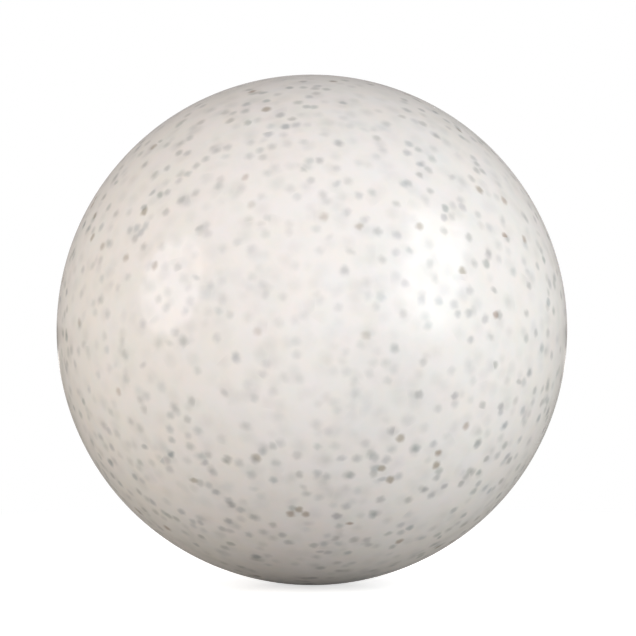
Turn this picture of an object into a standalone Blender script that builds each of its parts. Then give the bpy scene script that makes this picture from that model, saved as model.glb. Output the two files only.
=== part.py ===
"""Hockey ball: a smooth PVC cover, welded from two halves, over a quilted centre of cork and twine.

Metres, +Z up, with the origin at the ball's centre. The weld lies in the XZ plane.
"""

import math

import bmesh
import bpy
import numpy as np
from mathutils import Vector

# Driving sizes
BALL_DIAMETER = 0.073
COVER_WALL = 0.005
TONGUE_HEIGHT = 0.002
TONGUE_THICKNESS = 0.0016
TWINE_DIAMETER = 0.0034
TURN_GAP = 0.0007
POLE_HOLE_RADIUS = 0.0009
CORK_THICKNESS = 0.0032
LEAF_TIP_RADIUS = 0.0025
FIT_GAP = 0.0003

# Pieces in each layer of cork
INNER_LEAVES = 6
OUTER_LEAVES = 8

# Facets: steps are counted round a full circle, except where the name says otherwise
COVER_TURN_STEPS = 48
COVER_OUTER_ARC_STEPS = 48
COVER_INNER_ARC_STEPS = 32
TWINE_PATH_STEPS = 20
LEAST_TURN_STEPS = 12
TWINE_BEVEL_RESOLUTION = 1
LEAF_STEPS_ACROSS_ONE = 3
LEAF_STEPS_ALONG_ONE = 12
NUCLEUS_TURN_STEPS = 24
MERGE_DISTANCE = 0.00001
SHARP_EDGE = math.radians(40)


def flat_reach(radius, *steps):
    """How near the centre the flat facets of a round surface come, cut in so many steps each way."""
    for count in steps:
        radius *= math.cos(math.pi / count)
    return radius


def winding_radius(limit):
    """Radius of the twine's centre line in a winding that fills the space up to limit."""
    return limit - TWINE_DIAMETER / 2


def limit_under_winding(radius):
    """Largest radius for what lies under a winding whose centre line has this radius."""
    return flat_reach(radius, TWINE_PATH_STEPS) - TWINE_DIAMETER / 2 - FIT_GAP


def limit_under_leaves(radius, count):
    """Largest radius for what lies under cork leaves whose outer face has this radius."""
    inner = radius - CORK_THICKNESS
    return flat_reach(inner, count * LEAF_STEPS_ACROSS_ONE, 2 * LEAF_STEPS_ALONG_ONE) - FIT_GAP


# Radii, the layers' worked out from the cover inwards
BALL_RADIUS = BALL_DIAMETER / 2
FIRST_TURN_RADIUS = POLE_HOLE_RADIUS + TWINE_DIAMETER / 2
COVER_INNER_RADIUS = BALL_RADIUS - COVER_WALL
CENTRE_LIMIT = flat_reach(COVER_INNER_RADIUS, COVER_TURN_STEPS, COVER_INNER_ARC_STEPS) - FIT_GAP
OUTER_WINDING_RADIUS = winding_radius(CENTRE_LIMIT)
OUTER_LEAF_RADIUS = limit_under_winding(OUTER_WINDING_RADIUS)
MIDDLE_WINDING_RADIUS = winding_radius(limit_under_leaves(OUTER_LEAF_RADIUS, OUTER_LEAVES))
INNER_LEAF_RADIUS = limit_under_winding(MIDDLE_WINDING_RADIUS)
INNER_WINDING_RADIUS = winding_radius(limit_under_leaves(INNER_LEAF_RADIUS, INNER_LEAVES))
NUCLEUS_RADIUS = limit_under_winding(INNER_WINDING_RADIUS)

# Turns that carry a layer's own +Z pole to another axis
POLE_UP = (0, 0, 0)
POLE_FORWARD = (math.radians(90), 0, 0)
POLE_BACK = (math.radians(-90), 0, 0)
POLE_RIGHT = (0, math.radians(90), 0)


def material(name, colour, roughness):
    """A plain Principled material."""
    made = bpy.data.materials.new(name)
    made.use_nodes = True
    shader = made.node_tree.nodes["Principled BSDF"]
    shader.inputs["Base Color"].default_value = (*colour, 1)
    shader.inputs["Roughness"].default_value = roughness
    shader.inputs["Metallic"].default_value = 0
    return made


def empty(name, parent, rotation, parts):
    """A centre mark that carries one layer."""
    made = bpy.data.objects.new(name, None)
    made.empty_display_size = BALL_RADIUS
    made.rotation_euler = rotation
    made.parent = parent
    parts.objects.link(made)
    return made


def add(name, data, finish, parent, parts):
    """Links an object made from mesh or curve data under its layer's centre mark."""
    made = bpy.data.objects.new(name, data)
    data.materials.append(finish)
    made.parent = parent
    parts.objects.link(made)
    return made


def arc(radius, start, end, steps_round):
    """Points (x, z) on an arc about the origin, its angles measured from the pole at +Z."""
    count = max(1, round(abs(end - start) * steps_round / math.tau))
    angles = np.linspace(start, end, count + 1)
    return [(radius * math.sin(a), radius * math.cos(a)) for a in angles]


def turned(name, profile, finish, parent, parts):
    """A profile in the XZ plane, turned all round Z."""
    mesh = bpy.data.meshes.new(name)
    bm = bmesh.new()
    corners = [bm.verts.new((x, 0, z)) for x, z in profile]
    for first, second in zip(corners, corners[1:]):
        bm.edges.new((first, second))
    bm.to_mesh(mesh)
    bm.free()
    made = add(name, mesh, finish, parent, parts)
    screw = made.modifiers.new("turn", "SCREW")
    screw.steps = COVER_TURN_STEPS
    screw.render_steps = COVER_TURN_STEPS
    screw.use_merge_vertices = True
    screw.merge_threshold = MERGE_DISTANCE
    screw.use_smooth_shade = True
    return made


def cover_half(name, with_tongue, finish, parent, parts):
    """Half of the cover, a cup with its pole at +Z and a stepped rim that laps the other half."""
    rim = FIT_GAP / 2
    tongue_outer = COVER_INNER_RADIUS + TONGUE_THICKNESS
    recess_outer = tongue_outer + FIT_GAP
    recess_depth = TONGUE_HEIGHT + FIT_GAP
    outside = arc(BALL_RADIUS, 0, math.acos(rim / BALL_RADIUS), COVER_OUTER_ARC_STEPS)
    if with_tongue:
        step = [
            (tongue_outer, rim),
            (tongue_outer, -TONGUE_HEIGHT),
            (COVER_INNER_RADIUS, -TONGUE_HEIGHT),
        ]
        inside_start = math.pi / 2
    else:
        step = [(recess_outer, rim), (recess_outer, recess_depth)]
        inside_start = math.acos(recess_depth / COVER_INNER_RADIUS)
    inside = arc(COVER_INNER_RADIUS, inside_start, 0, COVER_INNER_ARC_STEPS)
    return turned(name, outside + step + inside, finish, parent, parts)


def winding_points(radius):
    """Centre line of one unbroken twine, wound from the pole at +Z to the pole at -Z."""
    pitch = TWINE_DIAMETER + TURN_GAP
    polar_per_turn = pitch / radius
    step = math.tau * radius / TWINE_PATH_STEPS
    polar = math.asin(FIRST_TURN_RADIUS / radius)
    last_polar = math.pi - polar
    turn = 0.0
    points = []
    while polar <= last_polar:
        ring = radius * math.sin(polar)
        points.append(Vector((ring * math.cos(turn), ring * math.sin(turn), radius * math.cos(polar))))
        swept = min(step / ring, math.tau / LEAST_TURN_STEPS)
        turn += swept
        polar += polar_per_turn * swept / math.tau
    return points


def least_gap(points):
    """Least clear distance between turns, on points over half a first turn apart along the twine."""
    places = np.array(points)
    runs = np.linalg.norm(np.diff(places, axis=0), axis=1)
    along = np.concatenate(([0], np.cumsum(runs)))
    apart = np.linalg.norm(places[:, None] - places[None], axis=2)
    far_along = np.abs(along[:, None] - along[None]) > math.pi * FIRST_TURN_RADIUS
    return apart[far_along].min() - TWINE_DIAMETER


def winding(name, radius, finish, parent, parts):
    """One layer of twine, as a single tube wound round the layer's axis."""
    points = winding_points(radius)
    curve = bpy.data.curves.new(name, "CURVE")
    curve.dimensions = "3D"
    curve.bevel_depth = TWINE_DIAMETER / 2
    curve.bevel_resolution = TWINE_BEVEL_RESOLUTION
    curve.use_fill_caps = True
    spline = curve.splines.new("POLY")
    spline.points.add(len(points) - 1)
    for place, point in zip(points, spline.points):
        point.co = (*place, 1)
    spline.use_smooth = True
    print(f"{name}: {len(points)} points, least gap to itself {1000 * least_gap(points):.2f} mm")
    return add(name, curve, finish, parent, parts)


def leaf_mesh(name, radius, count):
    """One of count gores of a hollow cork ball, its tips on the Z axis and its middle at +X."""
    inner = radius - CORK_THICKNESS
    tip = math.asin(LEAF_TIP_RADIUS / inner)
    mesh = bpy.data.meshes.new(name)
    bm = bmesh.new()
    bmesh.ops.create_grid(
        bm, x_segments=LEAF_STEPS_ACROSS_ONE, y_segments=LEAF_STEPS_ALONG_ONE, size=1
    )
    for vert in bm.verts:
        across, along = vert.co.x, vert.co.y
        polar = math.pi / 2 - along * (math.pi / 2 - tip)
        edge = math.pi / count - math.asin(FIT_GAP / 2 / (inner * math.sin(polar)))
        turn = across * edge
        ring = radius * math.sin(polar)
        vert.co = (ring * math.cos(turn), ring * math.sin(turn), radius * math.cos(polar))
    grown = bmesh.ops.extrude_face_region(bm, geom=bm.faces[:], use_keep_orig=True)
    inside = [item for item in grown["geom"] if isinstance(item, bmesh.types.BMVert)]
    bmesh.ops.scale(bm, verts=inside, vec=Vector((1, 1, 1)) * (inner / radius))
    bmesh.ops.recalc_face_normals(bm, faces=bm.faces[:])
    bm.to_mesh(mesh)
    bm.free()
    mesh.shade_smooth()
    mesh.set_sharp_from_angle(angle=SHARP_EDGE)
    return mesh


def cork_leaves(name, radius, count, finish, parent, parts):
    """A layer of cork leaves, laid edge to edge round the layer's axis."""
    for index in range(count):
        leaf_name = f"{name}_{index + 1}"
        leaf = add(leaf_name, leaf_mesh(leaf_name, radius, count), finish, parent, parts)
        leaf.rotation_euler.z = math.tau * index / count


def cork_nucleus(name, finish, parent, parts):
    """The moulded ball of cork grains in the middle."""
    mesh = bpy.data.meshes.new(name)
    bm = bmesh.new()
    bmesh.ops.create_uvsphere(
        bm, u_segments=NUCLEUS_TURN_STEPS, v_segments=NUCLEUS_TURN_STEPS // 2, radius=NUCLEUS_RADIUS
    )
    bm.to_mesh(mesh)
    bm.free()
    mesh.shade_smooth()
    return add(name, mesh, finish, parent, parts)


def main():
    for old in list(bpy.data.objects):
        bpy.data.objects.remove(old)
    parts = bpy.data.collections.new("hockey_ball")
    bpy.context.scene.collection.children.link(parts)

    pvc = material("white_pvc", (0.83, 0.80, 0.77), 0.25)
    cork = material("sheet_cork", (0.52, 0.34, 0.19), 0.9)
    twine = material("worsted_twine", (0.72, 0.63, 0.47), 0.95)
    bonded = material("rubber_bonded_cork", (0.24, 0.15, 0.09), 0.85)

    centre = empty("ball_centre", None, POLE_UP, parts)
    front = empty("front_axis", centre, POLE_FORWARD, parts)
    rear = empty("rear_axis", centre, POLE_BACK, parts)
    across = empty("cross_axis", centre, POLE_RIGHT, parts)

    cover_half("front_cover", True, pvc, front, parts)
    cover_half("rear_cover", False, pvc, rear, parts)
    winding("outer_winding", OUTER_WINDING_RADIUS, twine, centre, parts)
    cork_leaves("outer_cork_leaf", OUTER_LEAF_RADIUS, OUTER_LEAVES, cork, across, parts)
    winding("middle_winding", MIDDLE_WINDING_RADIUS, twine, across, parts)
    cork_leaves("inner_cork_leaf", INNER_LEAF_RADIUS, INNER_LEAVES, cork, centre, parts)
    winding("inner_winding", INNER_WINDING_RADIUS, twine, front, parts)
    cork_nucleus("cork_nucleus", bonded, centre, parts)


main()
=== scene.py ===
"""Looks of a hockey ball: a glossy, flecked white PVC cover round a wound centre of cork and twine.

Metres, +Z up, with the origin at the ball's centre. The camera looks along +Y.
"""

import math
from typing import NamedTuple

import bmesh
import bpy
import numpy as np
from bpy.props import FloatProperty, FloatVectorProperty, IntProperty, PointerProperty
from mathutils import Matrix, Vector, noise


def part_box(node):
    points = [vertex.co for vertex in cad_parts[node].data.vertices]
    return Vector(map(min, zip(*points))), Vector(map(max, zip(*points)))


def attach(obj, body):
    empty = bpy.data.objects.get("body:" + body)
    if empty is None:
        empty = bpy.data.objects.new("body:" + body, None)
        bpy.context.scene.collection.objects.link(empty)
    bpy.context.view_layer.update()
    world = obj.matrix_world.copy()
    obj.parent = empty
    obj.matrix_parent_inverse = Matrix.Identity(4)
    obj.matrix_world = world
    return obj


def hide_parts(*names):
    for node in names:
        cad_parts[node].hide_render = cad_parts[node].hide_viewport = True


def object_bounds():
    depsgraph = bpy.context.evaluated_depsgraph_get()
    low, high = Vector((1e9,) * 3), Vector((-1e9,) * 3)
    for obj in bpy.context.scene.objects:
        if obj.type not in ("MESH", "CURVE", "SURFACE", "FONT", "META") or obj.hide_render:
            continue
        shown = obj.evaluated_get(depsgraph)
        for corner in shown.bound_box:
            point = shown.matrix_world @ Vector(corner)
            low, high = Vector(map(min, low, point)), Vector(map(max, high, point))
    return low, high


bl_info = {
    "name": "Hockey Ball",
    "version": (1, 0, 0),
    "blender": (4, 5, 0),
    "location": "3D View > Sidebar > Hockey Ball",
    "description": "Finishes the parts of a hockey ball and sets a plain studio round it",
    "category": "Object",
}

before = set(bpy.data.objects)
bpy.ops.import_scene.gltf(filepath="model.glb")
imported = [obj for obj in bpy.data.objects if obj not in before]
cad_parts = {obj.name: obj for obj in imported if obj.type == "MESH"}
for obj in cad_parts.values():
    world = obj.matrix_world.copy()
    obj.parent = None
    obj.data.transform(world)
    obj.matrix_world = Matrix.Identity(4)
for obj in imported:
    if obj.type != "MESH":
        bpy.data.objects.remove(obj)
CAD_LOW, CAD_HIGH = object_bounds()

# The ball's one body
BODY = "root"

# The photograph's frame, in pixels, and the ball's place in it
PHOTO_SIZE = 636
BALL_CENTRE_ACROSS = 311.9
BALL_CENTRE_DOWN = 329.9
BALL_RADIUS_IN_PHOTO = 255.4


def node_points(name):
    """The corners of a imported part, one row each."""
    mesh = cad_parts[name].data
    points = np.empty(len(mesh.vertices) * 3)
    mesh.vertices.foreach_get("co", points)
    return points.reshape(-1, 3)


# Sizes of the cover, read from its front half, and of the nucleus
COVER_POINTS = node_points("front_cover")
BALL_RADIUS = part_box("front_cover")[1].x
TONGUE_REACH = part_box("front_cover")[1].y
TONGUE_POINTS = COVER_POINTS[COVER_POINTS[:, 1] > TONGUE_REACH / 2]
TONGUE_RADIUS = float(np.hypot(TONGUE_POINTS[:, 0], TONGUE_POINTS[:, 2]).max())
COVER_INNER_RADIUS = float(np.linalg.norm(COVER_POINTS, axis=1).min())
NUCLEUS_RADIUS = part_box("cork_nucleus")[1].z


class Patch(NamedTuple):
    """A round place on the cover: its level holds as far as near and has faded out at far."""

    middle: tuple
    near: float
    far: float
    level: float


class FleckKind(NamedTuple):
    """How one kind of fleck is scattered, how wide its edge blurs and how dark it is by depth."""

    name: str
    spacing: float
    band: float
    diameter: float
    blur: tuple
    darkness: tuple
    bronze_share: float = 0.0


# Patches of the cover, in metres: a darker grey patch and a paler painted reflection in the white, and
# painted reflections that veil the flecks
DARK_PATCH = Patch((0.0119, -0.0332, -0.0093), 0.002, 0.011, 0.10)
PAINTED_REFLECTION_PATCH = Patch((-0.004, -0.0348, -0.0102), 0.003, 0.014, 0.07)
PAINTED_REFLECTION_VEILS = (
    Patch((0.0007, -0.0365, -0.005), 0.005, 0.0185, 0.46),
    Patch((-0.005, -0.0335, 0.0125), 0.005, 0.021, 0.52),
    Patch((-0.0274, -0.0241, 0), 0.006, 0.017, 0.66),
)

# Lengths, depths and shifts of the plastic's patterns, in metres
CLOUD_LENGTH = 0.011
TONE_LENGTH = 0.004
WISP_LENGTH = 0.0042
DARK_PATCH_LENGTH = 0.006
CLEARNESS_LENGTH = 0.014
SMEAR_LENGTH = 0.006
POLISH_LENGTH = 0.0016
POLISH_DEPTH = 0.000004
SKIN_DEPTHS = (0.0006, 0.0003)
SHELL_STEP = 0.0005
SCATTER_SHIFT = (0.131, 0.217, 0.173)

# Shapes of the flecks, with lengths as shares of a fleck's diameter
FLECK_RADII = (0.46, 0.56)
FLECK_WOBBLE_LENGTH = 0.6
FLECK_WOBBLE = 0.3
TILT_SQUEEZE = 0.6
EDGE_ON_CHANCE = 0.95
EDGE_ON_SQUEEZE = 0.6

# Blur of a fleck's edge from no veil to a full one, and darkness as (depth, level) pairs
FULL_VEIL = 1.2
NEAR_BLUR = (0.6, 1.05)
NEAR_DARKNESS = ((0, 0.42), (0.03, 0.38), (0.06, 0.33), (0.5, 0.275), (0.64, 0.19), (1, 0.08))
SUNK_BLUR = (0.85, 1.0)
SUNK_DARKNESS = ((0, 0.11), (0.5, 0.055), (1, 0.02))

# Bump depth of fibres and cork grains, in metres, and where the cork's pores open
GRAIN_DEPTH = 0.00012
PORE_LEVEL = 0.35
PORE_SHIFT = Vector((7, 3, 5))

# Angles past which an edge is shaded sharp or rubbed round
RIM_ANGLE = math.radians(40)
LEAF_SHARP_ANGLE = math.radians(50)


class CoverSettings(bpy.types.PropertyGroup):
    """Shape and plastic of the two cover halves."""

    segments: IntProperty(
        name="Segments", description="Grid squares along a quarter of the skin", default=48, min=8
    )
    fit_gap: FloatProperty(
        name="Fit gap", description="Clearance round the weld's tongue",
        default=0.0003, unit="LENGTH", precision=5,
    )
    ripple_depth: FloatProperty(
        name="Ripple depth", description="How far the polished skin dips between its high places",
        default=0.000014, unit="LENGTH", precision=6,
    )
    ripple_length: FloatProperty(
        name="Ripple length", description="Distance over which the skin's dips repeat",
        default=0.009, unit="LENGTH", precision=4,
    )
    plastic: FloatVectorProperty(
        name="Plastic", description="Milky white of the PVC",
        default=(0.808, 0.778, 0.752), subtype="COLOR", size=3, min=0, max=1,
    )
    roughness: FloatProperty(
        name="Roughness", description="Roughness of the polished skin",
        default=0.09, subtype="FACTOR", min=0, max=1,
    )
    inside_roughness: FloatProperty(
        name="Inside roughness", description="Roughness of the moulded inner wall",
        default=0.5, subtype="FACTOR", min=0, max=1,
    )


class FleckSettings(bpy.types.PropertyGroup):
    """The glitter flecks mixed into the plastic."""

    layers: IntProperty(
        name="Layers", description="How many scatters of flecks lie over each other", default=4, min=1
    )
    spacing: FloatProperty(
        name="Spacing", description="Cell size of one scatter", default=0.0028, unit="LENGTH", precision=4
    )
    band: FloatProperty(
        name="Band", description="Half the thickness of the shell that a scatter's flecks are taken from",
        default=0.00041, unit="LENGTH", precision=5,
    )
    diameter: FloatProperty(
        name="Diameter", description="Middle diameter of a fleck", default=0.0011, unit="LENGTH", precision=5
    )
    sunk_layers: IntProperty(
        name="Sunk layers", description="How many scatters of deep, blurred flecks lie under the others",
        default=3, min=0,
    )
    sunk_spacing: FloatProperty(
        name="Sunk spacing", description="Cell size of a deep scatter",
        default=0.0032, unit="LENGTH", precision=4,
    )
    sunk_band: FloatProperty(
        name="Sunk band",
        description="Half the thickness of the shell that a deep scatter's flecks are taken from",
        default=0.0008, unit="LENGTH", precision=5,
    )
    sunk_diameter: FloatProperty(
        name="Sunk diameter", description="Diameter over which a deep fleck is blurred",
        default=0.0017, unit="LENGTH", precision=5,
    )
    bronze_share: FloatProperty(
        name="Bronze share", description="Share of the flecks that are bronze",
        default=0.05, subtype="FACTOR", min=0, max=1,
    )
    bronze_strength: FloatProperty(
        name="Bronze strength", description="How strongly a bronze fleck covers the white",
        default=0.5, subtype="FACTOR", min=0, max=1,
    )
    cool_silver: FloatVectorProperty(
        name="Cool silver", description="Greener grey of the silver flecks",
        default=(0.03, 0.14, 0.155), subtype="COLOR", size=3, min=0, max=1,
    )
    warm_silver: FloatVectorProperty(
        name="Warm silver", description="Redder grey of the silver flecks",
        default=(0.18, 0.13, 0.145), subtype="COLOR", size=3, min=0, max=1,
    )
    straw_silver: FloatVectorProperty(
        name="Straw silver", description="Yellower grey of the silver flecks",
        default=(0.105, 0.135, 0.065), subtype="COLOR", size=3, min=0, max=1,
    )
    blue_silver: FloatVectorProperty(
        name="Blue silver", description="Bluer grey of the silver flecks",
        default=(0.095, 0.135, 0.225), subtype="COLOR", size=3, min=0, max=1,
    )
    gold_bronze: FloatVectorProperty(
        name="Gold bronze", description="Yellower brown of the bronze flecks",
        default=(0.16, 0.115, 0.03), subtype="COLOR", size=3, min=0, max=1,
    )
    red_bronze: FloatVectorProperty(
        name="Red bronze", description="Redder brown of the bronze flecks",
        default=(0.22, 0.105, 0.04), subtype="COLOR", size=3, min=0, max=1,
    )


class CentreSettings(bpy.types.PropertyGroup):
    """Twine, cork and nucleus under the cover."""

    twine_diameter: FloatProperty(
        name="Twine diameter", description="Outside diameter of the twisted twine",
        default=0.0034, unit="LENGTH", precision=4,
    )
    turn_gap: FloatProperty(
        name="Turn gap", description="Gap between neighbouring turns of round twine",
        default=0.0007, unit="LENGTH", precision=5,
    )
    least_gap: FloatProperty(
        name="Least gap", description="Gap that is left when the wound twine is pressed flat",
        default=0.0001, unit="LENGTH", precision=5,
    )
    pole_hole_radius: FloatProperty(
        name="Pole hole radius", description="Radius left open inside the first turn",
        default=0.0009, unit="LENGTH", precision=5,
    )
    plies: IntProperty(name="Plies", description="Yarns twisted into the twine", default=3, min=2)
    lay_length: FloatProperty(
        name="Lay length", description="Length of twine in which a ply goes once round",
        default=0.013, unit="LENGTH", precision=4,
    )
    ring_spacing: FloatProperty(
        name="Ring spacing", description="Distance between the twine's cross sections",
        default=0.0017, unit="LENGTH", precision=5,
    )
    ring_points: IntProperty(
        name="Ring points", description="Points round a cross section of the twine", default=18, min=6
    )
    wool: FloatVectorProperty(
        name="Wool", description="Undyed wool of the twine",
        default=(0.70, 0.60, 0.44), subtype="COLOR", size=3, min=0, max=1,
    )
    cork: FloatVectorProperty(
        name="Cork", description="Middle brown of the sheet cork",
        default=(0.50, 0.31, 0.165), subtype="COLOR", size=3, min=0, max=1,
    )
    cork_grain: FloatProperty(
        name="Cork grain", description="Size of the cork's pressed grains",
        default=0.0024, unit="LENGTH", precision=4,
    )
    cork_step: FloatProperty(
        name="Cork step", description="Grid step of a cork leaf's faces",
        default=0.0009, unit="LENGTH", precision=5,
    )
    cork_pits: FloatProperty(
        name="Cork pits", description="Depth of the pits in a cork leaf's faces",
        default=0.00016, unit="LENGTH", precision=5,
    )
    leaf_gap: FloatProperty(
        name="Leaf gap", description="Gap between neighbouring cork leaves",
        default=0.0003, unit="LENGTH", precision=5,
    )
    leaf_edge: FloatProperty(
        name="Leaf edge", description="How far a cork leaf's edges are rubbed round",
        default=0.0004, unit="LENGTH", precision=5,
    )
    rubber: FloatVectorProperty(
        name="Rubber", description="Dark rubber that binds the nucleus",
        default=(0.045, 0.032, 0.026), subtype="COLOR", size=3, min=0, max=1,
    )
    nucleus_segments: IntProperty(
        name="Nucleus segments", description="Grid squares along a quarter of the nucleus", default=28, min=4
    )
    nucleus_pits: FloatProperty(
        name="Nucleus pits", description="Depth of the pits between the nucleus's grains",
        default=0.00035, unit="LENGTH", precision=5,
    )


class StageSettings(bpy.types.PropertyGroup):
    """Camera, lamps and floor."""

    camera_distance: FloatProperty(
        name="Camera distance", description="From the ball's centre to the camera", default=0.5, unit="LENGTH"
    )
    camera_elevation: FloatProperty(
        name="Camera elevation", description="Angle of the camera above the ball's centre",
        default=math.radians(1), subtype="ANGLE",
    )
    floor_radius: FloatProperty(
        name="Floor radius", description="Radius of the round floor", default=3.0, unit="LENGTH"
    )
    floor_white: FloatProperty(
        name="Floor white", description="Lightness of the floor as the camera sees it",
        default=0.9, subtype="FACTOR", min=0, max=1,
    )
    floor_glow: FloatProperty(
        name="Floor glow", description="Share of the floor's white that needs no lamp",
        default=0.62, subtype="FACTOR", min=0, max=1,
    )
    floor_bounce: FloatVectorProperty(
        name="Floor bounce", description="Colour of the light that the floor throws back on the ball",
        default=(0.32, 0.30, 0.268), subtype="COLOR", size=3, min=0, max=1,
    )
    shadow_radius: FloatProperty(
        name="Shadow radius", description="How far from the ball the floor takes its shadow",
        default=0.16, unit="LENGTH",
    )
    mirror_share: FloatProperty(
        name="Mirror share", description="How much of the white background shows in reflections",
        default=0.12, subtype="FACTOR", min=0, max=1,
    )
    ambient: FloatVectorProperty(
        name="Ambient", description="Even light from all round the room",
        default=(0.342, 0.318, 0.304), subtype="COLOR", size=3, min=0, max=1,
    )


class Tree:
    """Short ways to build a node tree. Most add one node and give back its output."""

    def __init__(self, tree):
        self.tree = tree

    def node(self, kind, **settings):
        made = self.tree.nodes.new(kind)
        for name, value in settings.items():
            setattr(made, name, value)
        return made

    def feed(self, socket, value):
        if isinstance(value, bpy.types.NodeSocket):
            self.tree.links.new(value, socket)
        elif socket.type == "RGBA":
            socket.default_value = (*value, 1)
        else:
            socket.default_value = value

    def fill(self, made, *values):
        """Feeds a node's sockets in order."""
        for socket, value in zip(made.inputs, values):
            self.feed(socket, value)

    def give(self, made, **values):
        """Feeds a node's sockets by name."""
        for name, value in values.items():
            self.feed(made.inputs[name], value)

    def math(self, operation, *values):
        made = self.node("ShaderNodeMath", operation=operation)
        self.fill(made, *values)
        return made.outputs["Value"]

    def vector(self, operation, *values):
        made = self.node("ShaderNodeVectorMath", operation=operation)
        self.fill(made, *values)
        single = operation in ("LENGTH", "DOT_PRODUCT", "DISTANCE")
        return made.outputs["Value" if single else "Vector"]

    def scaled(self, vector, factor):
        made = self.node("ShaderNodeVectorMath", operation="SCALE")
        self.give(made, Vector=vector, Scale=factor)
        return made.outputs["Vector"]

    def parts(self, vector):
        made = self.node("ShaderNodeSeparateXYZ")
        self.feed(made.inputs["Vector"], vector)
        return made.outputs["X"], made.outputs["Y"], made.outputs["Z"]

    def mixed(self, factor, first, second):
        made = self.node("ShaderNodeMix", data_type="RGBA")
        colour_inputs, colour_output = (0, 6, 7), 2
        for index, value in zip(colour_inputs, (factor, first, second)):
            self.feed(made.inputs[index], value)
        return made.outputs[colour_output]

    def mixed_shader(self, factor, first, second):
        made = self.node("ShaderNodeMixShader")
        self.fill(made, factor, first, second)
        return made.outputs["Shader"]

    def ranged(self, value, source, target, smooth=True):
        """Carries a value from one range to another, each a pair of ends."""
        made = self.node("ShaderNodeMapRange", interpolation_type="SMOOTHSTEP" if smooth else "LINEAR")
        self.fill(made, value, *source, *target)
        return made.outputs["Result"]

    def ramp(self, value, *stops):
        """A greyscale ramp, given as (place, level) pairs."""
        made = self.node("ShaderNodeValToRGB")
        elements = made.color_ramp.elements
        while len(elements) < len(stops):
            elements.new(1)
        for element, (place, level) in zip(elements, stops):
            element.position = place
            element.color = (level, level, level, 1)
        self.feed(made.inputs["Fac"], value)
        return made.outputs["Color"]

    def noise(self, vector, size, detail=2.0, roughness=0.5, output="Fac"):
        made = self.node("ShaderNodeTexNoise")
        self.give(made, Vector=vector, Scale=1 / size, Detail=detail, Roughness=roughness)
        return made.outputs[output]

    def cells(self, vector, size, feature="F1"):
        made = self.node("ShaderNodeTexVoronoi", feature=feature)
        self.give(made, Vector=vector, Scale=1 / size)
        return made

    def bump(self, height, distance):
        made = self.node("ShaderNodeBump")
        self.give(made, Strength=1.0, Distance=distance, Height=height)
        return made.outputs["Normal"]


def shaded(colour, level):
    """A colour made darker, or lighter where the level is over 1."""
    return tuple(min(1.0, part * level) for part in colour)


def new_material(name):
    """An empty Principled material, with its tree helper, its shader and its object coordinates."""
    made = bpy.data.materials.new(name)
    made.use_nodes = True
    tree = Tree(made.node_tree)
    shader = made.node_tree.nodes["Principled BSDF"]
    place = tree.node("ShaderNodeTexCoord").outputs["Object"]
    return made, tree, shader, place


def fleck_in_band(tree, place, middle, band):
    """1 where a fleck's middle lies near the surface, by whole shells, so that no facet cuts a fleck."""
    below_skin = tree.math("SUBTRACT", BALL_RADIUS + SHELL_STEP / 2, tree.vector("LENGTH", place))
    shell = tree.math("SUBTRACT", BALL_RADIUS, tree.math("SNAP", below_skin, SHELL_STEP))
    off_shell = tree.math("ABSOLUTE", tree.math("SUBTRACT", tree.vector("LENGTH", middle), shell))
    return tree.math("LESS_THAN", off_shell, band)


def fleck_reach(tree, place, middle, chance, diameter):
    """Uneven distance from a fleck's middle, counted longer across a tilted fleck, which narrows it."""
    over_middle = tree.scaled(tree.vector("NORMALIZE", middle), tree.vector("LENGTH", place))
    wobble = tree.noise(place, FLECK_WOBBLE_LENGTH * diameter, detail=0, output="Color")
    swing = tree.scaled(tree.vector("SUBTRACT", wobble, (0.5, 0.5, 0.5)), FLECK_WOBBLE * diameter)
    offset = tree.vector("ADD", tree.vector("SUBTRACT", place, over_middle), swing)
    lean = tree.vector("SUBTRACT", tree.scaled(chance, 2.0), (1, 1, 1))
    across = tree.vector("NORMALIZE", tree.vector("CROSS_PRODUCT", place, lean))
    tilt, _, _ = tree.parts(chance)
    edge_on = tree.math("MULTIPLY", tree.math("GREATER_THAN", tilt, EDGE_ON_CHANCE), EDGE_ON_SQUEEZE)
    squeeze = tree.math("ADD", tree.math("MULTIPLY", tilt, TILT_SQUEEZE), edge_on)
    squeezed = tree.math("MULTIPLY", tree.vector("DOT_PRODUCT", offset, across), squeeze)
    square = tree.math("ADD", tree.vector("DOT_PRODUCT", offset, offset), tree.math("POWER", squeezed, 2.0))
    return tree.math("SQRT", square)


def fleck_colour(tree, chance, is_bronze, flecks):
    """Colour of a fleck: a grey with a tint of its own, or bronze."""
    _, tint, hue = tree.parts(chance)
    silver = tree.mixed(
        0.5,
        tree.mixed(tint, flecks.cool_silver, flecks.warm_silver),
        tree.mixed(hue, flecks.straw_silver, flecks.blue_silver),
    )
    bronze = tree.mixed(tint, flecks.gold_bronze, flecks.red_bronze)
    return tree.mixed(is_bronze, silver, bronze)


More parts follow.
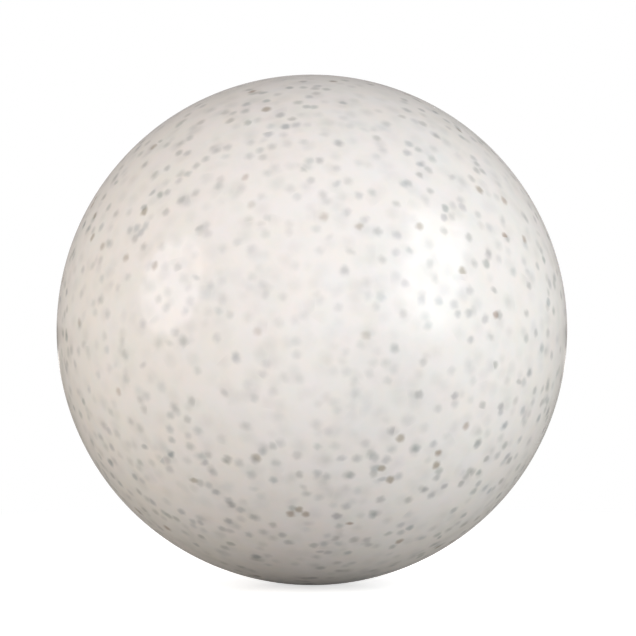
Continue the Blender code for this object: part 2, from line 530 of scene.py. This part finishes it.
def fleck_group(kind, flecks):
    """Node group that lays one scatter of flecks over a colour, wherever the plastic has a surface."""
    group = bpy.data.node_groups.new(kind.name, "ShaderNodeTree")
    for socket, form in (("Color", "Color"), ("Place", "Vector"), ("Shift", "Vector"), ("Clarity", "Float")):
        group.interface.new_socket(socket, in_out="INPUT", socket_type=f"NodeSocket{form}")
    group.interface.new_socket("Color", in_out="OUTPUT", socket_type="NodeSocketColor")
    tree = Tree(group)
    given = tree.node("NodeGroupInput").outputs
    place, clarity = given["Place"], given["Clarity"]

    scatter = tree.cells(tree.vector("ADD", place, given["Shift"]), kind.spacing)
    middle = tree.vector("SUBTRACT", scatter.outputs["Position"], given["Shift"])
    chance = scatter.outputs["Color"]
    second_chance = tree.node("ShaderNodeTexWhiteNoise")
    tree.feed(second_chance.inputs["Vector"], chance)
    size, depth, metal = tree.parts(second_chance.outputs["Color"])
    is_bronze = tree.math("LESS_THAN", metal, kind.bronze_share)
    depth = tree.math("MULTIPLY", depth, tree.math("SUBTRACT", 1.0, is_bronze))

    radii = tuple(share * kind.diameter for share in FLECK_RADII)
    radius = tree.ranged(size, (0, 1), radii, smooth=False)
    share = tree.math("DIVIDE", fleck_reach(tree, place, middle, chance, kind.diameter), radius)
    veil = tree.math("SUBTRACT", tree.math("ADD", depth, 1.0), clarity)
    blur = tree.ranged(veil, (0, FULL_VEIL), kind.blur, smooth=False)
    edge = tree.math("SUBTRACT", 1.0, blur), tree.math("ADD", 1.0, blur)
    cover = tree.ranged(share, edge, (1, 0))
    cover = tree.math("MULTIPLY", cover, fleck_in_band(tree, place, middle, kind.band))
    bronze_darkness = tree.math("MULTIPLY", is_bronze, flecks.bronze_strength)
    darkness = tree.math("MAXIMUM", tree.ramp(depth, *kind.darkness), bronze_darkness)
    shade = tree.math("MULTIPLY", cover, tree.math("MULTIPLY", darkness, clarity))
    fleck = fleck_colour(tree, chance, is_bronze, flecks)
    tree.feed(tree.node("NodeGroupOutput").inputs["Color"], tree.mixed(shade, given["Color"], fleck))
    return group


def lay_flecks(tree, group, layers, colour, place, clarity):
    """Lays several scatters of one kind of fleck over a colour, each shifted away from the last."""
    for layer in range(1, layers + 1):
        scatter = tree.node("ShaderNodeGroup", node_tree=group)
        shift = tuple(step * layer for step in SCATTER_SHIFT)
        tree.give(scatter, Color=colour, Place=place, Shift=shift, Clarity=clarity)
        colour = scatter.outputs["Color"]
    return colour


def patch_level(tree, place, patch, outside):
    """Level of a patch at a place, which fades to outside."""
    away = tree.vector("DISTANCE", place, patch.middle)
    return tree.ranged(away, (patch.near, patch.far), (patch.level, outside))


def milky_ground(tree, place, cover):
    """White of the plastic under its flecks: cloudy, with a darker grey patch and a paler painted reflection
    low on the front.
    """
    red, green, blue = cover.plastic
    warm = (red, green * 0.985, blue * 0.97)
    colour = tree.mixed(tree.noise(place, CLOUD_LENGTH, detail=3), warm, shaded(cover.plastic, 1.03))
    shifted = tree.vector("ADD", place, (0.1, 0.4, 0.2))
    tone = tree.noise(shifted, TONE_LENGTH, detail=4, roughness=0.75, output="Color")
    tone = tree.vector("MULTIPLY_ADD", tone, (0.13, 0, 0.13), (0.935, 1, 0.935))
    colour = tree.vector("MULTIPLY", colour, tone)
    wisps = tree.ranged(tree.noise(place, WISP_LENGTH, detail=3, roughness=0.6), (0.42, 0.75), (0, 0.06))
    colour = tree.mixed(wisps, colour, shaded(cover.plastic, 0.5))
    # A darker grey patch low on the front right
    dark_patch = tree.math("MULTIPLY", patch_level(tree, place, DARK_PATCH, 0), tree.noise(place, DARK_PATCH_LENGTH))
    colour = tree.mixed(dark_patch, colour, shaded(cover.plastic, 0.3))
    # Painted reflection: a paler patch low on the front
    return tree.mixed(patch_level(tree, place, PAINTED_REFLECTION_PATCH, 0), colour, (1, 1, 1))


def clearness(tree, place):
    """How clearly the flecks show: faded on the front and the left by a painted reflection, clearest low
    down, and patchy all over.
    """
    patches = tree.noise(tree.vector("ADD", place, (0.3, 0.1, 0.2)), CLEARNESS_LENGTH)
    clear = tree.ranged(patches, (0.32, 0.58), (0.82, 1.05))
    # Painted reflection: the flecks fade where a broad reflection veils them, on the front and the left
    for reflection_veil in PAINTED_REFLECTION_VEILS:
        clear = tree.math("MULTIPLY", clear, patch_level(tree, place, reflection_veil, 1.0))
    _, _, height = tree.parts(place)
    low_boost = tree.ranged(height, (-0.7 * BALL_RADIUS, -0.25 * BALL_RADIUS), (1.1, 1.0))
    return tree.math("MULTIPLY", clear, low_boost)


def flecked_plastic(cover, flecks):
    """Milky white PVC with a polished skin, full of small silver and bronze flecks."""
    made, tree, shader, place = new_material("flecked_white_plastic")
    near = FleckKind(
        "near_flecks", flecks.spacing, flecks.band, flecks.diameter, NEAR_BLUR, NEAR_DARKNESS,
        flecks.bronze_share,
    )
    sunk = FleckKind(
        "sunk_flecks", flecks.sunk_spacing, flecks.sunk_band, flecks.sunk_diameter, SUNK_BLUR, SUNK_DARKNESS
    )
    colour = milky_ground(tree, place, cover)
    colour = lay_flecks(tree, fleck_group(sunk, flecks), flecks.sunk_layers, colour, place, 1.0)
    colour = lay_flecks(tree, fleck_group(near, flecks), flecks.layers, colour, place, clearness(tree, place))
    tree.feed(shader.inputs["Base Color"], colour)

    smears = tree.noise(place, SMEAR_LENGTH, detail=4, roughness=0.6)
    polished = tree.ranged(smears, (0.3, 0.7), (0.6 * cover.roughness, 1.7 * cover.roughness))
    skin_edge = tuple(BALL_RADIUS - depth for depth in SKIN_DEPTHS)
    inside = tree.ranged(tree.vector("LENGTH", place), skin_edge, (cover.inside_roughness, 0))
    tree.feed(shader.inputs["Roughness"], tree.math("MAXIMUM", polished, inside))
    tree.feed(shader.inputs["Normal"], tree.bump(tree.noise(place, POLISH_LENGTH), POLISH_DEPTH))
    shader.inputs["IOR"].default_value = 1.5
    return made


def twine_finish(centre):
    """Undyed worsted twine: fibres that run along the plies, with painted shade in the grooves between them.
    """
    made, tree, shader, _ = new_material("worsted_twine")
    lay = tree.node("ShaderNodeAttribute", attribute_name="twine_lay").outputs["Vector"]
    fibre_stretch, patch_length = (1.5, 14.0, 1.0), 9.0
    streaks = tree.noise(tree.vector("MULTIPLY", lay, fibre_stretch), 1.0, detail=4, roughness=0.65)
    patches = tree.noise(lay, patch_length)
    _, _, groove = tree.parts(lay)
    dark, pale = shaded(centre.wool, 0.55), shaded(centre.wool, 1.18)
    colour = tree.mixed(tree.ranged(streaks, (0.3, 0.7), (0, 1)), dark, pale)
    colour = tree.mixed(tree.ranged(patches, (0.35, 0.65), (0, 0.35)), colour, centre.wool)
    # Painted shade in the grooves between the plies
    colour = tree.mixed(tree.ranged(groove, (0.2, 0.75), (0.6, 0)), colour, shaded(centre.wool, 0.3))
    tree.feed(shader.inputs["Base Color"], colour)
    tree.feed(shader.inputs["Roughness"], tree.ranged(streaks, (0.2, 0.8), (0.98, 0.84), smooth=False))
    tree.feed(shader.inputs["Normal"], tree.bump(streaks, GRAIN_DEPTH))
    shader.inputs["Sheen Weight"].default_value = 0.35
    return made


def cork_finish(name, grain_size, shades, binder):
    """Pressed cork grains of several browns, with a binder in the joints between them."""
    made, tree, shader, place = new_material(name)
    drift = tree.noise(place, grain_size, output="Color")
    bent = tree.vector("ADD", place, tree.scaled(drift, 0.5 * grain_size))
    grain = tree.cells(bent, grain_size)
    joint = tree.cells(bent, grain_size, feature="DISTANCE_TO_EDGE").outputs["Distance"]
    red, green, _ = tree.parts(grain.outputs["Color"])
    fine = tree.noise(place, 0.12 * grain_size, detail=4, roughness=0.7)
    colour = tree.mixed(red, shades[0], shades[1])
    colour = tree.mixed(tree.math("GREATER_THAN", green, 0.86), colour, shades[2])
    colour = tree.mixed(tree.ranged(fine, (0.35, 0.7), (0.45, 0)), colour, shades[2])
    gap = tree.ranged(joint, (0.0, 0.09), (1, 0))
    tree.feed(shader.inputs["Base Color"], tree.mixed(gap, colour, binder))
    tree.feed(shader.inputs["Roughness"], tree.ranged(fine, (0.3, 0.7), (0.95, 0.78), smooth=False))
    height = tree.math("SUBTRACT", tree.math("MULTIPLY", fine, 0.5), gap)
    tree.feed(shader.inputs["Normal"], tree.bump(height, GRAIN_DEPTH))
    return made


def sheet_cork(centre):
    """Finish of the cork leaves."""
    *shades, binder = (shaded(centre.cork, level) for level in (0.8, 1.25, 0.32, 0.45))
    return cork_finish("sheet_cork", centre.cork_grain, shades, binder)


def bonded_cork(centre):
    """Finish of the nucleus: cork grains in dark rubber."""
    shades = [shaded(centre.cork, level) for level in (0.42, 0.8, 0.2)]
    return cork_finish("rubber_bonded_cork", 0.8 * centre.cork_grain, shades, centre.rubber)


def noise_share(place):
    """Smooth noise at a place, as a share of about 0 to 1."""
    return 0.5 + 0.5 * noise.noise(place)


def finished_mesh(shape, name):
    """A new mesh of this name, made from a bmesh, which is freed."""
    mesh = bpy.data.meshes.new(name)
    shape.to_mesh(mesh)
    shape.free()
    return mesh


def linked(name, data):
    """A new object in the scene."""
    made = bpy.data.objects.new(name, data)
    bpy.context.scene.collection.objects.link(made)
    return made


def round_skin(radius, segments, dip, is_skin=1):
    """A round skin of square grids, dipped by dip(place), with its normals kept as a layer on its points."""
    skin = bmesh.new()
    bmesh.ops.create_cube(skin, size=2)
    bmesh.ops.subdivide_edges(skin, edges=skin.edges[:], cuts=segments - 1, use_grid_fill=True)
    for vert in skin.verts:
        way = Vector([math.tan(part * math.pi / 4) for part in vert.co]).normalized()
        vert.co = way * (radius - dip(way * radius))
    skin.normal_update()
    kept = skin.verts.layers.float_vector.new("skin_normal")
    marked = skin.faces.layers.int.new("is_skin")
    for vert in skin.verts:
        vert[kept] = vert.normal
    for face in skin.faces:
        face[marked] = is_skin
    return skin


def keep_half(skin, side):
    """Deletes the part of a skin that lies past the weld's plane, on the far side from side."""
    margin = 1e-7
    past = [vert for vert in skin.verts if vert.co.y * side < -margin]
    bmesh.ops.delete(skin, geom=past, context="VERTS")


def open_edges(skin):
    """Edges round a skin's open rim."""
    return [edge for edge in skin.edges if edge.is_boundary]


def raise_rim(skin, radius, height):
    """Adds one more ring to a skin's open rim, at this radius and height along Y, not marked as skin."""
    marked = skin.faces.layers.int["is_skin"]
    for item in bmesh.ops.extrude_edge_only(skin, edges=open_edges(skin))["geom"]:
        if isinstance(item, bmesh.types.BMVert):
            flat = Vector((item.co.x, 0, item.co.z)).normalized() * radius
            item.co = (flat.x, height, flat.z)
        elif isinstance(item, bmesh.types.BMFace):
            item[marked] = 0


def inner_wall(cover, side, start):
    """The cover's inner wall, turned inside out, with its rim raised to start along Y."""
    wall = round_skin(COVER_INNER_RADIUS, cover.segments, lambda place: 0.0, is_skin=0)
    keep_half(wall, side)
    lift = math.asin(start / COVER_INNER_RADIUS)
    for vert in wall.verts:
        level = math.asin(min(1.0, abs(vert.co.y) / COVER_INNER_RADIUS))
        level = lift + level * (1 - lift / (math.pi / 2))
        flat = Vector((vert.co.x, 0, vert.co.z))
        if flat.length > 0:
            flat = flat.normalized() * COVER_INNER_RADIUS * math.cos(level)
        vert.co = (flat.x, side * COVER_INNER_RADIUS * math.sin(level), flat.z)
    bmesh.ops.reverse_faces(wall, faces=wall.faces[:])
    return wall


def cover_half(name, side, cover):
    """One half of the cover as a closed moulding: polished skin, lapped rim and inner wall."""
    def ripple(place):
        return cover.ripple_depth * noise_share(place / cover.ripple_length)

    skin = round_skin(BALL_RADIUS, cover.segments, ripple)
    keep_half(skin, side)
    if side < 0:
        rings = ((TONGUE_RADIUS, 0), (TONGUE_RADIUS, TONGUE_REACH), (COVER_INNER_RADIUS, TONGUE_REACH))
        wall_start = 0.0
    else:
        recess_radius = TONGUE_RADIUS + cover.fit_gap
        wall_start = TONGUE_REACH + cover.fit_gap
        rings = ((recess_radius, 0), (recess_radius, wall_start))
    for radius, height in rings:
        raise_rim(skin, radius, height)
    wall_mesh = finished_mesh(inner_wall(cover, side, wall_start), "inner_wall")
    skin.from_mesh(wall_mesh)
    bpy.data.meshes.remove(wall_mesh)
    bmesh.ops.bridge_loops(skin, edges=open_edges(skin))
    bmesh.ops.recalc_face_normals(skin, faces=skin.faces[:])
    mesh = finished_mesh(skin, name)
    smooth_skin(mesh)
    return add_piece(name, mesh)


def smooth_skin(mesh):
    """Shades a cover half smooth, its skin by the normals of the whole ball, so that no weld shows."""
    mesh.shade_smooth()
    mesh.set_sharp_from_angle(angle=RIM_ANGLE)
    kept = mesh.attributes["skin_normal"].data
    marked = mesh.attributes["is_skin"].data
    normals = [corner.vector.copy() for corner in mesh.corner_normals]
    for polygon in mesh.polygons:
        if marked[polygon.index].value:
            for loop in polygon.loop_indices:
                normals[loop] = kept[mesh.loops[loop].vertex_index].vector.copy()
    mesh.normals_split_custom_set(normals)
    for name in ("skin_normal", "is_skin"):
        mesh.attributes.remove(mesh.attributes[name])


def add_piece(name, mesh):
    """Links a new piece of the ball and lets it ride on the ball's body."""
    made = linked(name, mesh)
    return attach(made, BODY)


def winding_radius(node, twine_radius):
    """Radius of a packed winding's centre line, from its corners, which lie evenly round that line."""
    square = (node_points(node) ** 2).sum(axis=1).mean()
    return math.sqrt(square - twine_radius ** 2)


def winding_path(radius, centre):
    """Centre line of one unbroken twine from pole to pole: places, ways along it and lengths so far."""
    first_turn_radius = centre.pole_hole_radius + centre.twine_diameter / 2
    polar_per_turn = (centre.twine_diameter + centre.turn_gap) / radius
    polar = math.asin(first_turn_radius / radius)
    last_polar = math.pi - polar
    least_turn_steps = 20
    turn = 0.0
    places = []
    while polar <= last_polar:
        ring = radius * math.sin(polar)
        places.append((ring * math.cos(turn), ring * math.sin(turn), radius * math.cos(polar)))
        swept = min(centre.ring_spacing / ring, math.tau / least_turn_steps)
        turn += swept
        polar += polar_per_turn * swept / math.tau
    places = np.array(places)
    ways = np.gradient(places, axis=0)
    ways /= np.linalg.norm(ways, axis=1)[:, None]
    steps = np.linalg.norm(np.diff(places, axis=0), axis=1)
    return places, ways, np.concatenate(([0], np.cumsum(steps)))


def ply_outline(centre):
    """Section of the twine as angles round it and distances from its middle to the plies' surfaces."""
    outer = centre.twine_diameter / 2
    ply_radius = outer / (1 + 1 / math.sin(math.pi / centre.plies))
    ply_offset = outer - ply_radius
    half = math.pi / centre.plies
    angles = np.arange(centre.ring_points) * math.tau / centre.ring_points
    from_ply = (angles + half) % (2 * half) - half
    inside = np.maximum(0, ply_radius ** 2 - (ply_offset * np.sin(from_ply)) ** 2)
    return angles, ply_offset * np.cos(from_ply) + np.sqrt(inside)


def twisted_winding(name, node, turned, centre):
    """One layer of twisted twine. turned carries a place from the winding's own poles to the ball's axes."""
    places, ways, along = winding_path(winding_radius(node, centre.twine_diameter / 2), centre)
    outward = places / np.linalg.norm(places, axis=1)[:, None]
    aside = np.cross(ways, outward)
    angles, reach = ply_outline(centre)
    twist = math.tau * along / centre.lay_length
    round_place = angles[None] + twist[:, None]
    flattened = (centre.twine_diameter + centre.turn_gap - centre.least_gap) / centre.twine_diameter
    rings = places[:, None] + reach[None, :, None] * (
        np.cos(round_place)[..., None] * outward[:, None]
        + flattened * np.sin(round_place)[..., None] * aside[:, None]
    )
    count, points = rings.shape[:2]
    corner = np.arange(count * points).reshape(count, points)
    after = np.roll(corner, -1, axis=1)
    sides = np.stack((corner[:-1], after[:-1], after[1:], corner[1:]), axis=-1).reshape(-1, 4)
    faces = [*sides.tolist(), corner[0][::-1].tolist(), corner[-1].tolist()]
    mesh = bpy.data.meshes.new(name)
    mesh.from_pydata([turned(Vector(place)) for place in rings.reshape(-1, 3)], [], faces)
    lay = np.stack((
        np.repeat(along / centre.twine_diameter, points),
        np.tile(angles * centre.plies / math.tau, count),
        np.tile((reach - reach.min()) / (reach.max() - reach.min()), count),
    ), axis=-1)
    mesh.attributes.new("twine_lay", "FLOAT_VECTOR", "POINT").data.foreach_set("vector", lay.ravel())
    mesh.shade_smooth()
    return add_piece(name, mesh)


def poles_on_z(place):
    """No turn."""
    return place


def poles_on_x(place):
    """A quarter turn about Y, which carries +Z to +X."""
    return Vector((place.z, place.y, -place.x))


def poles_on_y(place):
    """A quarter turn about X, which carries +Z to -Y."""
    return Vector((place.x, -place.z, place.y))


def leaf_sizes(node, pole):
    """Outer and inner radius of a packed cork leaf, and how near its inner face comes to the poles' axis."""
    points = node_points(node)
    reach = np.linalg.norm(points, axis=1)
    inside = points[reach < reach.mean()]
    from_axis = np.linalg.norm(inside - np.outer(inside @ pole, pole), axis=1)
    return reach.max(), reach.min(), from_axis.min()


def cork_leaf(node, index, count, turned, centre):
    """One leaf of sheet cork: a bent gore with rubbed edges and a pitted face, in its packed leaf's place."""
    pole = np.array(turned(Vector((0, 0, 1))))
    outer, inner, tip_radius = leaf_sizes(node, pole)
    tip = math.asin(tip_radius / inner)
    half_turn = math.pi / count
    steps_along = round(outer * (math.pi - 2 * tip) / centre.cork_step)
    steps_across = round(outer * 2 * half_turn / centre.cork_step)
    leaf = bmesh.new()
    bmesh.ops.create_grid(leaf, x_segments=steps_across, y_segments=steps_along, size=1)
    for vert in leaf.verts:
        polar = math.pi / 2 - vert.co.y * (math.pi / 2 - tip)
        edge = half_turn - math.asin(centre.leaf_gap / 2 / (inner * math.sin(polar)))
        turn = vert.co.x * edge + 2 * half_turn * index
        ring = outer * math.sin(polar)
        vert.co = turned(Vector((ring * math.cos(turn), ring * math.sin(turn), outer * math.cos(polar))))
    grown = bmesh.ops.extrude_face_region(leaf, geom=leaf.faces[:], use_keep_orig=True)["geom"]
    inside = [item for item in grown if isinstance(item, bmesh.types.BMVert)]
    bmesh.ops.scale(leaf, verts=inside, vec=Vector((1, 1, 1)) * (inner / outer))
    bmesh.ops.recalc_face_normals(leaf, faces=leaf.faces[:])
    rims = [edge for edge in leaf.edges if edge.calc_face_angle() > RIM_ANGLE]
    bmesh.ops.bevel(leaf, geom=rims, offset=centre.leaf_edge, segments=2, profile=0.5, affect="EDGES")
    leaf.normal_update()
    dips = [pit_depth(vert.co, centre) for vert in leaf.verts]
    for vert, dip in zip(leaf.verts, dips):
        vert.co -= vert.normal * dip
    mesh = finished_mesh(leaf, f"{node}_sheet")
    mesh.shade_smooth()
    mesh.set_sharp_from_angle(angle=LEAF_SHARP_ANGLE)
    return add_piece(f"{node}_sheet", mesh)


def pit_depth(place, centre):
    """Depth of the cork's pits at a place: shallow between its grains, deeper in a few open pores."""
    grains = noise_share(place / (0.5 * centre.cork_grain))
    pores = max(0.0, noise.noise(place / centre.cork_grain + PORE_SHIFT) - PORE_LEVEL)
    return centre.cork_pits * (0.5 * grains + 2.0 * pores)


def soften_edges(light, share):
    """Lets a soft box fade out towards its edges, over this share of its width and of its height."""
    light.use_nodes = True
    tree = Tree(light.node_tree)
    across, up, _ = tree.parts(tree.node("ShaderNodeNewGeometry").outputs["Parametric"])
    fades = []
    for place in (across, up):
        from_middle = tree.math("ABSOLUTE", tree.math("SUBTRACT", place, 0.5))
        fades.append(tree.ranged(from_middle, (0.5 - share, 0.5), (1, 0)))
    tree.feed(light.node_tree.nodes["Emission"].inputs["Strength"], tree.math("MULTIPLY", *fades))


def lamp(
    name, across, above, size, energy, distance=0.5, colour=(1, 1, 1),
    shape="RECTANGLE", roll=0, mirrored=True, soft_edge=0,
):
    """A soft box aimed at the ball, its angles in degrees measured from the line to the camera."""
    light = bpy.data.lights.new(name, "AREA")
    light.shape = shape
    light.size, light.size_y = size
    light.energy = energy
    light.color = colour
    if soft_edge:
        soften_edges(light, soft_edge)
    made = linked(name, light)
    turn, rise = math.radians(across), math.radians(above)
    way = Vector((math.sin(turn) * math.cos(rise), -math.cos(turn) * math.cos(rise), math.sin(rise)))
    made.location = way * distance
    made.rotation_euler = (-way).to_track_quat("-Z", "Y").to_euler()
    made.rotation_euler.rotate_axis("Z", math.radians(roll))
    made.visible_camera = False
    made.visible_glossy = mirrored


def background_share(tree, stage):
    """Where the white background shows: to the camera, through clear things, and in part in mirrors."""
    path = tree.node("ShaderNodeLightPath").outputs
    mirrored = tree.math("MULTIPLY", path["Is Glossy Ray"], stage.mirror_share)
    seen = tree.math("MAXIMUM", path["Is Camera Ray"], path["Is Transmission Ray"])
    return tree.math("MAXIMUM", seen, mirrored)


def floor_finish(stage):
    """White floor that keeps the ball's shadow, and throws little light back on the ball."""
    made = bpy.data.materials.new("white_floor")
    made.use_nodes = True
    made.node_tree.nodes.clear()
    tree = Tree(made.node_tree)
    white = tree.node("ShaderNodeBsdfDiffuse")
    tree.give(white, Color=[stage.floor_white] * 3)
    glow = tree.node("ShaderNodeEmission")
    tree.give(glow, Strength=stage.floor_glow)
    bounce = tree.node("ShaderNodeBsdfDiffuse")
    tree.give(bounce, Color=stage.floor_bounce)
    lit = tree.node("ShaderNodeAddShader")
    tree.fill(lit, white.outputs["BSDF"], glow.outputs["Emission"])
    away = tree.vector("LENGTH", tree.node("ShaderNodeTexCoord").outputs["Object"])
    shadow_edge = (0.4 * stage.shadow_radius, stage.shadow_radius)
    plain = tree.node("ShaderNodeEmission").outputs["Emission"]
    seen = tree.mixed_shader(tree.ranged(away, shadow_edge, (0, 1)), lit.outputs["Shader"], plain)
    mix = tree.mixed_shader(background_share(tree, stage), bounce.outputs["BSDF"], seen)
    tree.feed(tree.node("ShaderNodeOutputMaterial").inputs["Surface"], mix)
    return made


def add_floor(stage):
    """A large round floor that the ball rests on."""
    disc = bmesh.new()
    bmesh.ops.create_circle(disc, cap_ends=True, radius=stage.floor_radius, segments=96)
    mesh = finished_mesh(disc, "floor")
    mesh.materials.append(floor_finish(stage))
    floor = linked("floor", mesh)
    floor.location.z = CAD_LOW.z


def add_room(stage):
    """Even light from all round, and white behind the floor."""
    world = bpy.data.worlds.new("studio")
    world.use_nodes = True
    tree = Tree(world.node_tree)
    dim = world.node_tree.nodes["Background"]
    tree.give(dim, Color=stage.ambient)
    white = tree.node("ShaderNodeBackground")
    tree.give(white, Color=(1, 1, 1))
    backgrounds = dim.outputs["Background"], white.outputs["Background"]
    mix = tree.mixed_shader(background_share(tree, stage), *backgrounds)
    tree.feed(world.node_tree.nodes["World Output"].inputs["Surface"], mix)
    bpy.context.scene.world = world


def add_lamps():
    """Soft boxes at the sides, a broad panel in front, and a panel that fills the back."""
    lamp("right_box", across=59, above=24.5, size=(0.28, 0.52), energy=1.17, roll=-35, soft_edge=0.2)
    lamp("right_wide_box", across=52, above=15.5, size=(0.5, 0.62), energy=0.92,
         colour=(0.6, 0.85, 1.0), roll=-29, soft_edge=0.35)
    lamp("right_fill", across=66, above=1, distance=0.8, size=(0.5, 0.2), energy=1.93,
         colour=(0.955, 0.985, 0.93), mirrored=False)
    lamp("left_box", across=-66, above=16.5, size=(0.27, 0.33), energy=0.52,
         colour=(0.92, 0.89, 1.0), shape="ELLIPSE")
    lamp("left_fill", across=-66, above=5, size=(0.3, 0.3), energy=0.83,
         colour=(1.0, 0.965, 0.72), mirrored=False)
    lamp("front_panel", across=0, above=3.5, distance=1.0, size=(1.6, 0.12), energy=5.54,
         colour=(0.93, 0.937, 1.0), mirrored=False)
    lamp("back_panel", across=180, above=5, distance=1.0, size=(0.28, 0.28), energy=9.5,
         colour=(0.945, 0.955, 1.0), mirrored=False)


def add_camera(stage):
    """A long lens on the ball's front, with the ball framed as in the photograph."""
    data = bpy.data.cameras.new("camera")
    camera = linked("camera", data)
    half_angle = math.asin(BALL_RADIUS / stage.camera_distance)
    data.sensor_width = 36
    data.lens = data.sensor_width * (BALL_RADIUS_IN_PHOTO / PHOTO_SIZE) / math.tan(half_angle)
    data.shift_x = (PHOTO_SIZE / 2 - BALL_CENTRE_ACROSS) / PHOTO_SIZE
    data.shift_y = (BALL_CENTRE_DOWN - PHOTO_SIZE / 2) / PHOTO_SIZE
    rise = stage.camera_elevation
    camera.location = Vector((0, -math.cos(rise), math.sin(rise))) * stage.camera_distance
    camera.rotation_euler = (-camera.location).to_track_quat("-Z", "Y").to_euler()
    bpy.context.scene.camera = camera


class HOCKEYBALL_OT_cover(bpy.types.Operator):
    """Makes the two welded halves of the flecked plastic cover"""

    bl_idname = "hockeyball.cover"
    bl_label = "Cover Halves"
    bl_options = {"REGISTER", "UNDO"}

    def execute(self, context):
        cover = context.scene.hockeyball_cover
        finish = flecked_plastic(cover, context.scene.hockeyball_flecks)
        for node, side in (("front_cover", -1), ("rear_cover", 1)):
            half = cover_half(f"{node}_moulding", side, cover)
            half.data.materials.append(finish)
            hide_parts(node)
        return {"FINISHED"}


class HOCKEYBALL_OT_windings(bpy.types.Operator):
    """Winds the three layers of twisted twine"""

    bl_idname = "hockeyball.windings"
    bl_label = "Twine Windings"
    bl_options = {"REGISTER", "UNDO"}

    def execute(self, context):
        centre = context.scene.hockeyball_centre
        finish = twine_finish(centre)
        turns = {"outer_winding": poles_on_z, "middle_winding": poles_on_x, "inner_winding": poles_on_y}
        for node, turned in turns.items():
            twine = twisted_winding(f"{node}_twine", node, turned, centre)
            twine.data.materials.append(finish)
            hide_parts(node)
        return {"FINISHED"}


class HOCKEYBALL_OT_cork_leaves(bpy.types.Operator):
    """Cuts the leaves of sheet cork in both layers"""

    bl_idname = "hockeyball.cork_leaves"
    bl_label = "Cork Leaves"
    bl_options = {"REGISTER", "UNDO"}

    def execute(self, context):
        centre = context.scene.hockeyball_centre
        finish = sheet_cork(centre)
        for layer, turned in (("outer_cork_leaf", poles_on_x), ("inner_cork_leaf", poles_on_z)):
            nodes = sorted(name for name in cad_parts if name.startswith(layer))
            for index, node in enumerate(nodes):
                leaf = cork_leaf(node, index, len(nodes), turned, centre)
                leaf.data.materials.append(finish)
                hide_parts(node)
        return {"FINISHED"}


class HOCKEYBALL_OT_nucleus(bpy.types.Operator):
    """Makes the moulded nucleus of cork grains in rubber"""

    bl_idname = "hockeyball.nucleus"
    bl_label = "Cork Nucleus"
    bl_options = {"REGISTER", "UNDO"}

    def execute(self, context):
        centre = context.scene.hockeyball_centre
        grain = 0.5 * centre.cork_grain

        def pits(place):
            return centre.nucleus_pits * noise_share(place / grain)

        skin = round_skin(NUCLEUS_RADIUS, centre.nucleus_segments, pits)
        mesh = finished_mesh(skin, "cork_nucleus_moulding")
        mesh.shade_smooth()
        nucleus = add_piece("cork_nucleus_moulding", mesh)
        mesh.materials.append(bonded_cork(centre))
        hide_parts("cork_nucleus")
        return {"FINISHED"}


class HOCKEYBALL_OT_stage(bpy.types.Operator):
    """Sets the floor, the lamps, the room and the camera"""

    bl_idname = "hockeyball.stage"
    bl_label = "Studio"
    bl_options = {"REGISTER", "UNDO"}

    def execute(self, context):
        stage = context.scene.hockeyball_stage
        context.scene.view_settings.view_transform = "Standard"
        add_floor(stage)
        add_room(stage)
        add_lamps()
        add_camera(stage)
        return {"FINISHED"}


class HOCKEYBALL_PT_sidebar(bpy.types.Panel):
    """Lists the pieces of the ball and the studio"""

    bl_idname = "HOCKEYBALL_PT_sidebar"
    bl_label = "Hockey Ball"
    bl_space_type = "VIEW_3D"
    bl_region_type = "UI"
    bl_category = "Hockey Ball"

    def draw(self, context):
        for operator in OPERATORS:
            self.layout.operator(operator.bl_idname)


SETTINGS = {
    "hockeyball_cover": CoverSettings,
    "hockeyball_flecks": FleckSettings,
    "hockeyball_centre": CentreSettings,
    "hockeyball_stage": StageSettings,
}
OPERATORS = (
    HOCKEYBALL_OT_stage,
    HOCKEYBALL_OT_cover,
    HOCKEYBALL_OT_windings,
    HOCKEYBALL_OT_cork_leaves,
    HOCKEYBALL_OT_nucleus,
)


def register():
    for name, group in SETTINGS.items():
        bpy.utils.register_class(group)
        setattr(bpy.types.Scene, name, PointerProperty(type=group))
    for operator in OPERATORS:
        bpy.utils.register_class(operator)
    bpy.utils.register_class(HOCKEYBALL_PT_sidebar)


def unregister():
    bpy.utils.unregister_class(HOCKEYBALL_PT_sidebar)
    for operator in reversed(OPERATORS):
        bpy.utils.unregister_class(operator)
    for name, group in reversed(SETTINGS.items()):
        delattr(bpy.types.Scene, name)
        bpy.utils.unregister_class(group)


def main():
    register()
    bpy.ops.hockeyball.stage()
    bpy.ops.hockeyball.cover()
    bpy.ops.hockeyball.windings()
    bpy.ops.hockeyball.cork_leaves()
    bpy.ops.hockeyball.nucleus()


if __name__ == "__main__":
    main()
